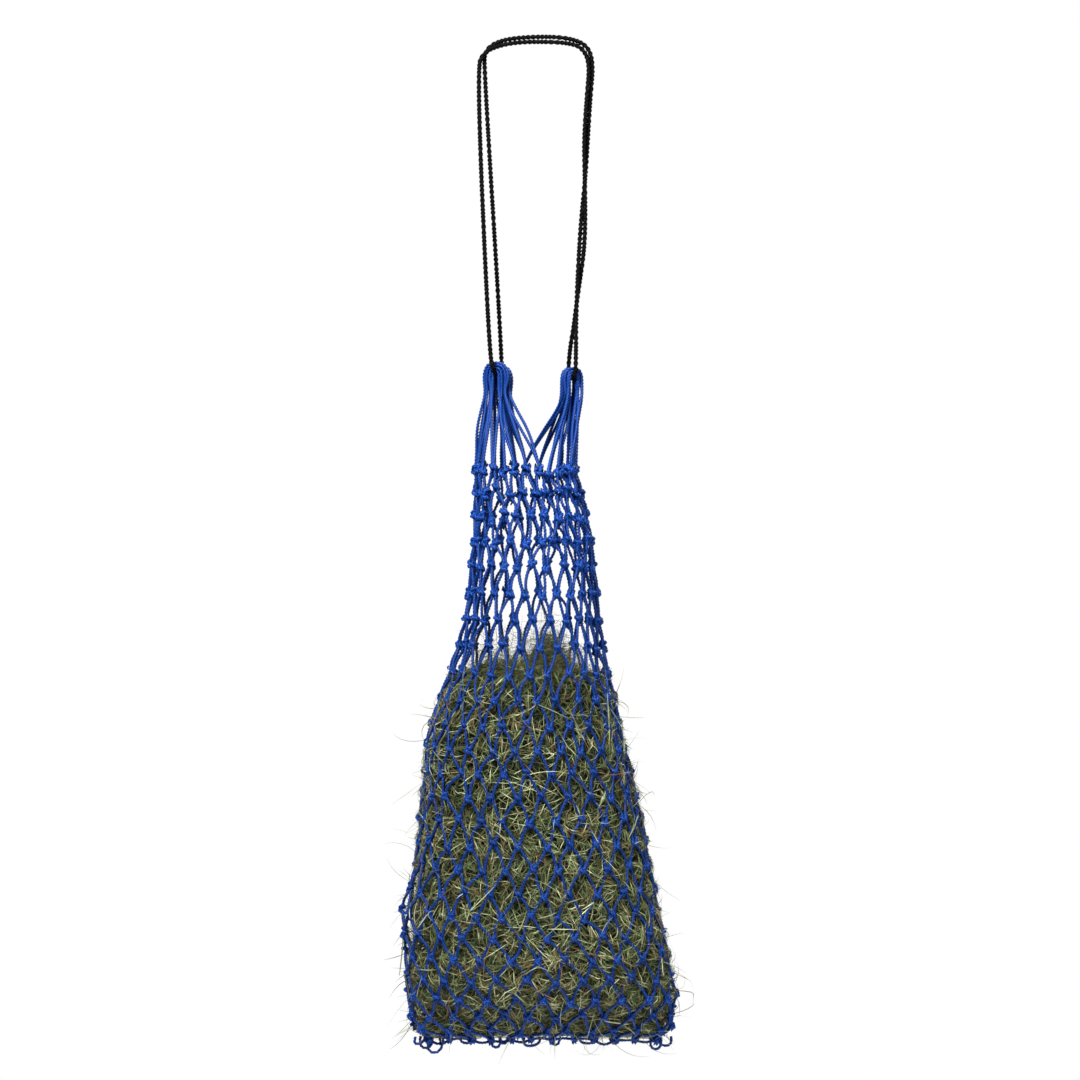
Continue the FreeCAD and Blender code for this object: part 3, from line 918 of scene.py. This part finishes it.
# Loops that sag from the seam: their place across, half their width, and how far they hang
SEAM_LOOPS = (
    (-0.172, 0.007, 0.012), (-0.163, 0.009, 0.018), (-0.148, 0.011, 0.023), (-0.136, 0.006, 0.013),
    (-0.101, 0.011, 0.010), (-0.060, 0.007, 0.014), (-0.047, 0.005, 0.011), (-0.004, 0.012, 0.014),
    (0.031, 0.006, 0.012), (0.081, 0.013, 0.011), (0.118, 0.006, 0.011), (0.181, 0.008, 0.018),
    (0.195, 0.009, 0.014),
)
LACING_SAMPLES = 180
LACING_THICKNESS = 0.60


def lacing_line(knots, rng):
    """The twine's way through the lowest knots at the front, sagging between them, and past both sides."""
    front = knots[knots[:, 1] < 0]
    front = front[np.argsort(front[:, 0])]
    sags = rng.uniform(-0.004, 0.009, len(front))
    points = [front[0] * (1, 0, 1) - (0.010, 0, 0.002)]
    for left, right, sag in zip(front, front[1:], sags):
        points += [left * (1, 0, 1) + (0, 0.003, -0.001), (left + right) / 2 * (1, 0, 1) - (0, 0.005, sag)]
    points += [front[-1] * (1, 0, 1), front[-1] * (1, 0, 1) + (0.010, 0, -0.003)]
    return evenly(spline_points(points, 10), LACING_SAMPLES)


def seam_loop(x, half, drop, seam_z, rng):
    """One loop that sags from the seam, to its front or its back."""
    place = np.array([x, rng.choice((-0.004, 0.004)), seam_z])
    ends = [place + (hand * half, rng.normal(0, 0.002), 0) for hand in (-1, 1)]
    lean = rng.normal(0, 0.25) * half
    first = ends[0] + (lean - half * 0.2, 0, -drop)
    second = ends[1] + (lean + half * 0.2, rng.normal(0, 0.003), -drop * rng.uniform(0.6, 1.2))
    return evenly(spline_points([ends[0], first, second, ends[1]], 8), 20)


class HAYNET_OT_seam_lacing(bpy.types.Operator):
    """Makes the twine that laces the net's lower end shut, and the loops that sag from it"""

    bl_idname = "haynet.seam_lacing"
    bl_label = "Seam lacing"

    def execute(self, context):
        knots = net_knots()[0][COURSES]
        rng = np.random.default_rng(31)
        lacing = lacing_line(knots, rng)
        loops = np.array([seam_loop(*loop, knots[:, 2].mean() + 0.005, rng) for loop in SEAM_LOOPS])
        meshes = [lay_twine(paths, LACING_THICKNESS, rng) for paths in (lacing[None], inside_box(loops))]
        piece = make_piece("seam_lacing_twine", meshes, twine_material())
        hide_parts("seam_lacing")
        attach(piece, "hay_bag")
        return {"FINISHED"}


# ---- hay ----

HAY_TOP_Z = -0.925  # its general top, under the peak
HAY_TOP_DROP = 0.055  # from there down to where the heap's sides start
HAY_TOP_MIDDLE_X = -0.005
HAY_TOP_REACH = (0.115, 0.100)  # from there to its rim, across and in depth
HAY_RIM_DROP = 0.040
HAY_PEAK = (0.021, 0.036, 0.021, 0.05)  # place to the right, height, spread across and in depth
HAY_LUMPS = (22, 0.012)  # of the loose top: how many in a metre, and how high
HAY_FOOT_ROW = 24.6
HAY_SLACK = 0.007  # how far the hay lies in from the net at its lower left
HAY_SLACK_ROW = 18.4  # where it lies furthest in
HAY_SLACK_SPREAD = 1.9  # rows
HALF_BAG = 0.2  # about half the bag's width
CORE_INSET = 0.016  # of the heap from the net, and as much again at its foot
CORE_FOOT_ROWS = (20.5, 23.5)  # over which the inset grows
CORE_COVER = 0.014  # loose hay over the heap's top
CORE_LEAN = 0.016  # of the heap's top to the right
CORE_LUMPS = (30, 0.005)  # how many in a metre, and how high
CORE_RINGS = 60
CORE_SIDES = 120
TUFTS_PER_METRE = 28
# The rows where each piece of blades ends
BLADE_BANDS = (("top", 13.7), ("upper", 17.3), ("lower", 20.9), ("bottom", 24.97))
# Layers of blades, deepest first: their share, lowest and highest lift off the net, and bulge in a mesh
BLADE_LAYERS = ((0.34, -0.019, -0.009, 0.002), (0.31, -0.011, -0.006, 0.008), (0.35, -0.007, -0.004, 0.0125))
FLUFF = 5600  # loose blades on the heap's top
THIN_FLUFF = 1000  # of them, thin ones that stand above it
FLUFF_LENGTH = 0.033
STALKS = 190
STALK_LENGTH = 0.048
STALK_RADIUS = 0.00085
WISP_LENGTHS = (0.008, 0.085)  # shortest and longest
WISP_TURN = 1.7  # spread of how far they bend, in radians
WISP_RADIUS = 0.00052
LENGTH_SPREAD = 0.40  # of stems of one kind, as a logarithm
STEM_RISE = 0.13  # spread of the slopes at which stems lie on the net
FOOT_ROW = 21  # where the hay starts to draw in to the seam
FOOT_ROWS = 2.5  # over which it does
FOOT_INSET = 0.004
BOX_SHARE = 0.03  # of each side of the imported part's box, by which loose stems may pass it
BOX_ROOM = 0.007  # metres more


def hay_slack(row):
    """How far the hay lies in from the net's left side."""
    return HAY_SLACK * np.exp(-(((row - HAY_SLACK_ROW) / HAY_SLACK_SPREAD) ** 2))


def hay_heap():
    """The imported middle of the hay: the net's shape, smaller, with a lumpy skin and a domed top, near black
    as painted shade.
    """
    tube = capped_tube(CORE_RINGS, CORE_SIDES)
    corners = coordinates(tube)
    share = corners[:, 2]
    top_row = float(row_at(HAY_TOP_Z - CORE_COVER))
    row = HAY_FOOT_ROW - (HAY_FOOT_ROW - top_row) * share
    angle = np.arctan2(corners[:, 1], corners[:, 0])
    place = net_surface(row, angle, CORE_INSET * (1 + np.interp(row, CORE_FOOT_ROWS, (0, 1))))
    dome = np.clip((place[:, 2] - (HAY_TOP_Z - HAY_TOP_DROP)) / (HAY_TOP_DROP - 0.012), 0, 1)
    narrowing = np.sqrt(np.clip(1 - dome**2 * 0.97, 0, 1))
    middle = net_section(row)[1]
    slack = hay_slack(row)
    place[:, 0] = middle + (place[:, 0] - middle) * narrowing * (1 - slack / HALF_BAG) + slack
    place[:, 0] += CORE_LEAN * dome
    place[:, 1] *= narrowing
    for number, point in enumerate(place):
        lump = noise.fractal(Vector(point) * CORE_LUMPS[0], 1.0, 2.0, 3) * CORE_LUMPS[1]
        way = np.array([point[0] - middle[number], point[1], 0])
        place[number] += way / max(np.linalg.norm(way), 1e-6) * lump
    lay = np.stack([angle, share, np.zeros_like(share)], axis=-1)
    # Painted shade: a shade of 0 gives the heap the hay's near-black lowest tone, as shadow in the gaps
    # between the blades
    return shape_mesh(tube, place, lay, np.zeros_like(share))


def hay_top(places):
    """How high the loose hay stands at those places: lower towards the net, with a peak."""
    away = np.hypot((places[:, 0] - HAY_TOP_MIDDLE_X) / HAY_TOP_REACH[0], places[:, 1] / HAY_TOP_REACH[1])
    x, height, spread, depth = HAY_PEAK
    peak = height * np.exp(-(((places[:, 0] - x) / spread) ** 2) - (places[:, 1] / depth) ** 2)
    lumps = np.array([noise.noise(Vector((place[0], place[1], 0)) * HAY_LUMPS[0]) for place in places])
    return HAY_TOP_Z + peak + lumps * HAY_LUMPS[1] - HAY_RIM_DROP * away**4


def scattered(count, rng, rows):
    """Random places over the net between two rows, as many to each patch, with the net's directions there."""
    tries = 6 * count
    row, angle = rng.uniform(*rows, tries), rng.uniform(0, TAU, tries)
    *sites, area = surface_frame(row, angle)
    kept = np.flatnonzero(rng.uniform(0, area.max(), tries) < area)[:count]
    return [site[kept] for site in sites]


def inside_box(paths):
    """Paths kept within the room that the part's box leaves for soft pieces."""
    low, high = (np.array(corner) for corner in cad_box)
    room = (high - low) * BOX_SHARE + BOX_ROOM
    return np.clip(paths, low - room, high + room)


def tuft_heading(places, rng, spread):
    """Headings of stems that lie together in tufts, with their own spread."""
    tuft = np.array([noise.noise(Vector(place) * TUFTS_PER_METRE) for place in places])
    return (TAU * 1.3 * tuft + rng.normal(0, spread, len(places)))[:, None]


def angle_at(places):
    """The net's own angle, round its middle, at those places."""
    _, middle, half_width, half_depth, _ = net_section(row_at(places[..., 2]))
    return np.arctan2(places[..., 1] / half_depth, (places[..., 0] - middle) / half_width) % TAU


def stem_paths(sites, lift, bulge, rng, length, spread, curl, samples):
    """Stems that follow the net over those sites: `lift` off it, and `bulge` more inside each mesh."""
    place, around, down, out = sites
    count = len(place)
    heading = tuft_heading(place, rng, spread)
    ahead = np.cos(heading) * around + np.sin(heading) * down
    aside = np.cross(out, ahead)
    length = (length * np.exp(rng.normal(0, LENGTH_SPREAD, count)))[:, None, None]
    rise = rng.normal(0.0, STEM_RISE, count)[:, None, None]
    bend = rng.normal(0, curl, count)[:, None, None]
    s = np.linspace(-0.5, 0.5, samples)[None, :, None]
    flat = place[:, None] + ahead[:, None] * s * length + aside[:, None] * bend * length * (s**2 - 0.08)
    row, angle = row_at(flat[..., 2]), angle_at(flat)
    low = np.clip((row - FOOT_ROW) / FOOT_ROWS, 0, 1)[..., None]
    inside = bulge[:, None, None] * openness(row, angle)[..., None] * (1 - 0.5 * low)
    height = lift[:, None, None] + inside - FOOT_INSET * low + rise * s * length
    return inside_box(net_surface(row, angle) + out[:, None] * height)


def shrunk_left(paths):
    """Paths drawn in from the net's slack lower left."""
    row = row_at(paths[..., 2])
    middle = net_section(row)[1]
    slack = hay_slack(row)
    paths[..., 0] = middle + (paths[..., 0] - middle) * (1 - slack / HALF_BAG) + slack
    return paths


def tapered(samples, count, rng, width):
    """Radii of a blade that narrows to both ends."""
    share = np.linspace(0, 1, samples)
    shape = np.clip(np.minimum(share * 4 + 0.35, (1 - share) * 2 + 0.12), 0, 1)
    return width * rng.uniform(0.55, 1.25, (count, 1)) * shape


def hay_piece(name, paths, radius, rng, shade, flat=0.3, sides=3, ups=None):
    """A piece of loose stems."""
    mesh = lay_strands(paths, radius, rng, sides=sides, up=ups, flat=flat, shade=shade)
    piece = make_piece(name, [mesh], hay_material())
    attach(piece, "hay_bag")
    return piece


def hay_blades():
    """Blades that bulge out through each mesh, over ones deeper in that are darker as painted shade."""
    shares, lowest, highest, bulges = zip(*BLADE_LAYERS)
    first = float(row_at(HAY_TOP_Z - 0.020))
    for number, (name, last) in enumerate(BLADE_BANDS):
        rng = np.random.default_rng(200 + number)
        sites = scattered(sizes().stems, rng, (first, last))
        count = len(sites[0])
        layer = rng.choice(len(shares), count, p=shares)
        lift = rng.uniform(lowest, highest, (count, len(shares)))[np.arange(count), layer]
        bulge = np.array(bulges)[layer]
        paths = stem_paths(sites, lift, bulge, rng, sizes().stem_length, spread=0.36, curl=0.19, samples=4)
        radius = tapered(4, count, rng, sizes().stem_width / 2)
        # Painted shade: stems darken with their layer's depth, dark in the deepest layer, green ones over
        # them, and every kind outside
        shades = rng.beta(1.5, 3.2, count) * 0.24, rng.beta(2, 2, count) * 0.6, rng.beta(1.5, 1.05, count)
        shade = np.choose(layer, shades)
        hay_piece(f"hay_blades_{name}", shrunk_left(paths), radius, rng, shade, ups=sites[3])
        first = last


def hay_top_fluff():
    """Loose blades over the heap's top, which rises to a peak, and thin ones above it to see through."""
    rng = np.random.default_rng(210)
    thin = np.arange(FLUFF) < THIN_FLUFF
    angle = rng.uniform(0, TAU, FLUFF)
    share = np.sqrt(rng.uniform(0, 1, FLUFF))
    row = np.full(FLUFF, row_at(HAY_TOP_Z - 0.012))
    rim = net_surface(row, angle, 0.010)
    middle = net_section(row)[1]
    place = np.stack([middle + (rim[:, 0] - middle) * share, rim[:, 1] * share, rim[:, 2]], axis=-1)
    place[:, 2] = hay_top(place) - rng.exponential(0.007, FLUFF).clip(0, 0.030)
    place[thin, 2] += rng.exponential(0.015, THIN_FLUFF).clip(0, 0.045) + 0.008
    heading = tuft_heading(place, rng, 0.7)
    lying = np.cos(heading) * (1, 0, 0) + np.sin(heading) * (0, 1, 0)
    ahead = unit(lying + rng.normal(0, 0.35, (FLUFF, 1)) * (0, 0, 1))
    ahead[thin] = unit(rng.normal(0, 1, (THIN_FLUFF, 3)))
    aside = unit(np.cross(ahead, (0.1, 0.2, 1.0)))
    length = (FLUFF_LENGTH * np.exp(rng.normal(0, 0.35, FLUFF)))[:, None, None]
    s = np.linspace(-0.5, 0.5, 4)[None, :, None]
    bend = rng.normal(0, 0.25, (FLUFF, 1, 1))
    bend[thin] *= 3
    paths = place[:, None] + ahead[:, None] * s * length + aside[:, None] * bend * length * s**2
    radius = tapered(4, FLUFF, rng, np.where(thin, 0.27, 0.45)[:, None] * sizes().stem_width)
    hay_piece("hay_top_fluff", inside_box(paths), radius, rng, rng.beta(1.6, 1.7, FLUFF))


def hay_long_stalks():
    """Stalks that lie across the net."""
    rng = np.random.default_rng(220)
    sites = scattered(STALKS, rng, (9.0, 24.0))
    count = len(sites[0])
    lift = rng.uniform(-0.0005, 0.0045, count)
    paths = stem_paths(sites, lift, np.zeros(count), rng, STALK_LENGTH, spread=2.0, curl=0.10, samples=8)
    radius = tapered(8, count, rng, STALK_RADIUS)
    hay_piece("hay_long_stalks", paths, radius, rng, rng.uniform(0.58, 0.97, count), flat=0.8, sides=5)


def hay_wisps():
    """Fine stems that curl out through the meshes."""
    rng = np.random.default_rng(230)
    place, around, down, out = scattered(sizes().wisps, rng, (8.6, 24.8))
    count = len(place)
    heading = rng.uniform(0, TAU, count)[:, None]
    lying = np.cos(heading) * around + np.sin(heading) * down
    ahead = unit(out * rng.uniform(0.1, 0.9, (count, 1)) + lying * rng.uniform(0.4, 1.3, (count, 1)))
    aside = unit(np.cross(ahead, rng.normal(0, 1, (count, 3))))
    length = rng.gamma(1.8, 0.0155, count).clip(*WISP_LENGTHS)[:, None, None]
    s = np.linspace(0, 1, 8)[None, :, None]
    # How far each bends along its arc, which is never quite straight
    turn = rng.normal(0, WISP_TURN, (count, 1, 1))
    turn += np.where(turn < 0, -0.05, 0.05)
    drop = rng.uniform(0, 0.25, (count, 1, 1)) * length * s**2
    paths = (place - out * 0.008)[:, None] + ahead[:, None] * np.sin(turn * s) / turn * length
    paths = paths + aside[:, None] * (1 - np.cos(turn * s)) / turn * length - drop * np.array([0, 0, 1.0])
    radius = tapered(8, count, rng, WISP_RADIUS)
    hay_piece("hay_wisps", inside_box(paths), radius, rng, rng.uniform(0.3, 1.0, count), flat=0.7)


class HAYNET_OT_hay_heap(bpy.types.Operator):
    """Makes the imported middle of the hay"""

    bl_idname = "haynet.hay_heap"
    bl_label = "Hay heap"

    def execute(self, context):
        heap = make_piece("hay_heap", [hay_heap()], hay_material())
        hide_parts("hay")
        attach(heap, "hay_bag")
        return {"FINISHED"}


class HAYNET_OT_hay_blades(bpy.types.Operator):
    """Makes the blades that cover the heap and lie loose on its top"""

    bl_idname = "haynet.hay_blades"
    bl_label = "Hay blades"

    def execute(self, context):
        hay_blades()
        hay_top_fluff()
        return {"FINISHED"}


class HAYNET_OT_hay_stems(bpy.types.Operator):
    """Makes the long stalks that lie across the net, and the wisps that curl out of it"""

    bl_idname = "haynet.hay_stems"
    bl_label = "Hay stems"

    def execute(self, context):
        hay_long_stalks()
        hay_wisps()
        return {"FINISHED"}


# ---- stage ----

FLOOR_Z = -2.5
FLOOR_RADIUS = 1.5
AMBIENT = 0.17  # light from all round
LIGHT_TARGET = (0, 0, -0.9)
# Each light's name, place, width in metres and power in watts
LIGHTS = (
    ("key_light", (-1.1, -2.1, 1.7), 0.9, 268),
    ("fill_light", (2.2, -2.6, -1.2), 2.0, 60),
    ("back_light", (0.8, 2.8, 0.8), 2.0, 85),
)
CAMERA_DISTANCE = 5.0
VIEW_WIDTH = 1.62
VIEW_CENTRE = (0.0075, -0.7425)
SENSOR_MM = 36.0


def studio_floor():
    bm = bmesh.new()
    bmesh.ops.create_circle(bm, cap_ends=True, segments=96, radius=FLOOR_RADIUS)
    bmesh.ops.translate(bm, verts=bm.verts, vec=(0, 0, FLOOR_Z))
    mesh = bpy.data.meshes.new("studio_floor")
    bm.to_mesh(mesh)
    bm.free()
    mesh.materials.append(floor_material())
    placed("studio_floor", mesh)


def studio_world():
    """A sky that the camera sees white and that lights the net softly."""
    world = bpy.data.worlds.new("studio")
    world.use_nodes = True
    tree = world.node_tree
    tree.nodes.clear()
    seen = add(tree, "LightPath").outputs["Is Camera Ray"]
    strength = remap(tree, seen, 0, 1, AMBIENT, 1.0)
    sky = add(tree, "Background", {"Color": (1, 1, 1, 1), "Strength": strength})
    add(tree, "OutputWorld", {"Surface": sky.outputs["Background"]})
    return world


def soft_light(name, place, width, power):
    lamp = bpy.data.lights.new(name, "AREA")
    lamp.shape = "DISK"
    lamp.size = width
    lamp.energy = power
    holder = placed(name, lamp)
    holder.location = place
    holder.rotation_euler = (Vector(LIGHT_TARGET) - Vector(place)).to_track_quat("-Z", "Y").to_euler()


def front_camera():
    camera = bpy.data.cameras.new("camera")
    camera.sensor_width = SENSOR_MM
    camera.lens = SENSOR_MM * CAMERA_DISTANCE / VIEW_WIDTH
    holder = placed("camera", camera)
    holder.location = (VIEW_CENTRE[0], -CAMERA_DISTANCE, VIEW_CENTRE[1])
    holder.rotation_euler = (math.pi / 2, 0, 0)
    return holder


class HAYNET_OT_stage(bpy.types.Operator):
    """Makes the pale floor, the soft lights and the camera"""

    bl_idname = "haynet.stage"
    bl_label = "Stage"

    def execute(self, context):
        studio_floor()
        for light in LIGHTS:
            soft_light(*light)
        context.scene.world = studio_world()
        context.scene.view_settings.view_transform = "Standard"
        context.scene.camera = front_camera()
        return {"FINISHED"}


# ---- panel and registration ----

OPERATORS = (
    HAYNET_OT_stage,
    HAYNET_OT_draw_rope,
    HAYNET_OT_long_loops,
    HAYNET_OT_netting,
    HAYNET_OT_seam_lacing,
    HAYNET_OT_hay_heap,
    HAYNET_OT_hay_blades,
    HAYNET_OT_hay_stems,
)


class HAYNET_PT_panel(bpy.types.Panel):
    """The hay net's sizes, colours and pieces"""

    bl_label = "Hay Net"
    bl_idname = "HAYNET_PT_panel"
    bl_space_type = "VIEW_3D"
    bl_region_type = "UI"
    bl_category = "Hay Net"

    def draw(self, context):
        for group in (context.scene.hay_net_sizes, context.scene.hay_net_colours):
            box = self.layout.box()
            for name in type(group).__annotations__:
                box.prop(group, name)
        for operator in OPERATORS:
            self.layout.operator(operator.bl_idname)


CLASSES = (HayNetSizes, HayNetColours, *OPERATORS, HAYNET_PT_panel)


def register():
    for item in CLASSES:
        bpy.utils.register_class(item)
    bpy.types.Scene.hay_net_sizes = PointerProperty(type=HayNetSizes)
    bpy.types.Scene.hay_net_colours = PointerProperty(type=HayNetColours)


def unregister():
    del bpy.types.Scene.hay_net_colours
    del bpy.types.Scene.hay_net_sizes
    for item in reversed(CLASSES):
        bpy.utils.unregister_class(item)


def main():
    """Makes the whole net."""
    register()
    for operator in OPERATORS:
        getattr(bpy.ops.haynet, operator.bl_idname.split(".")[1])()


if __name__ == "__main__":
    main()
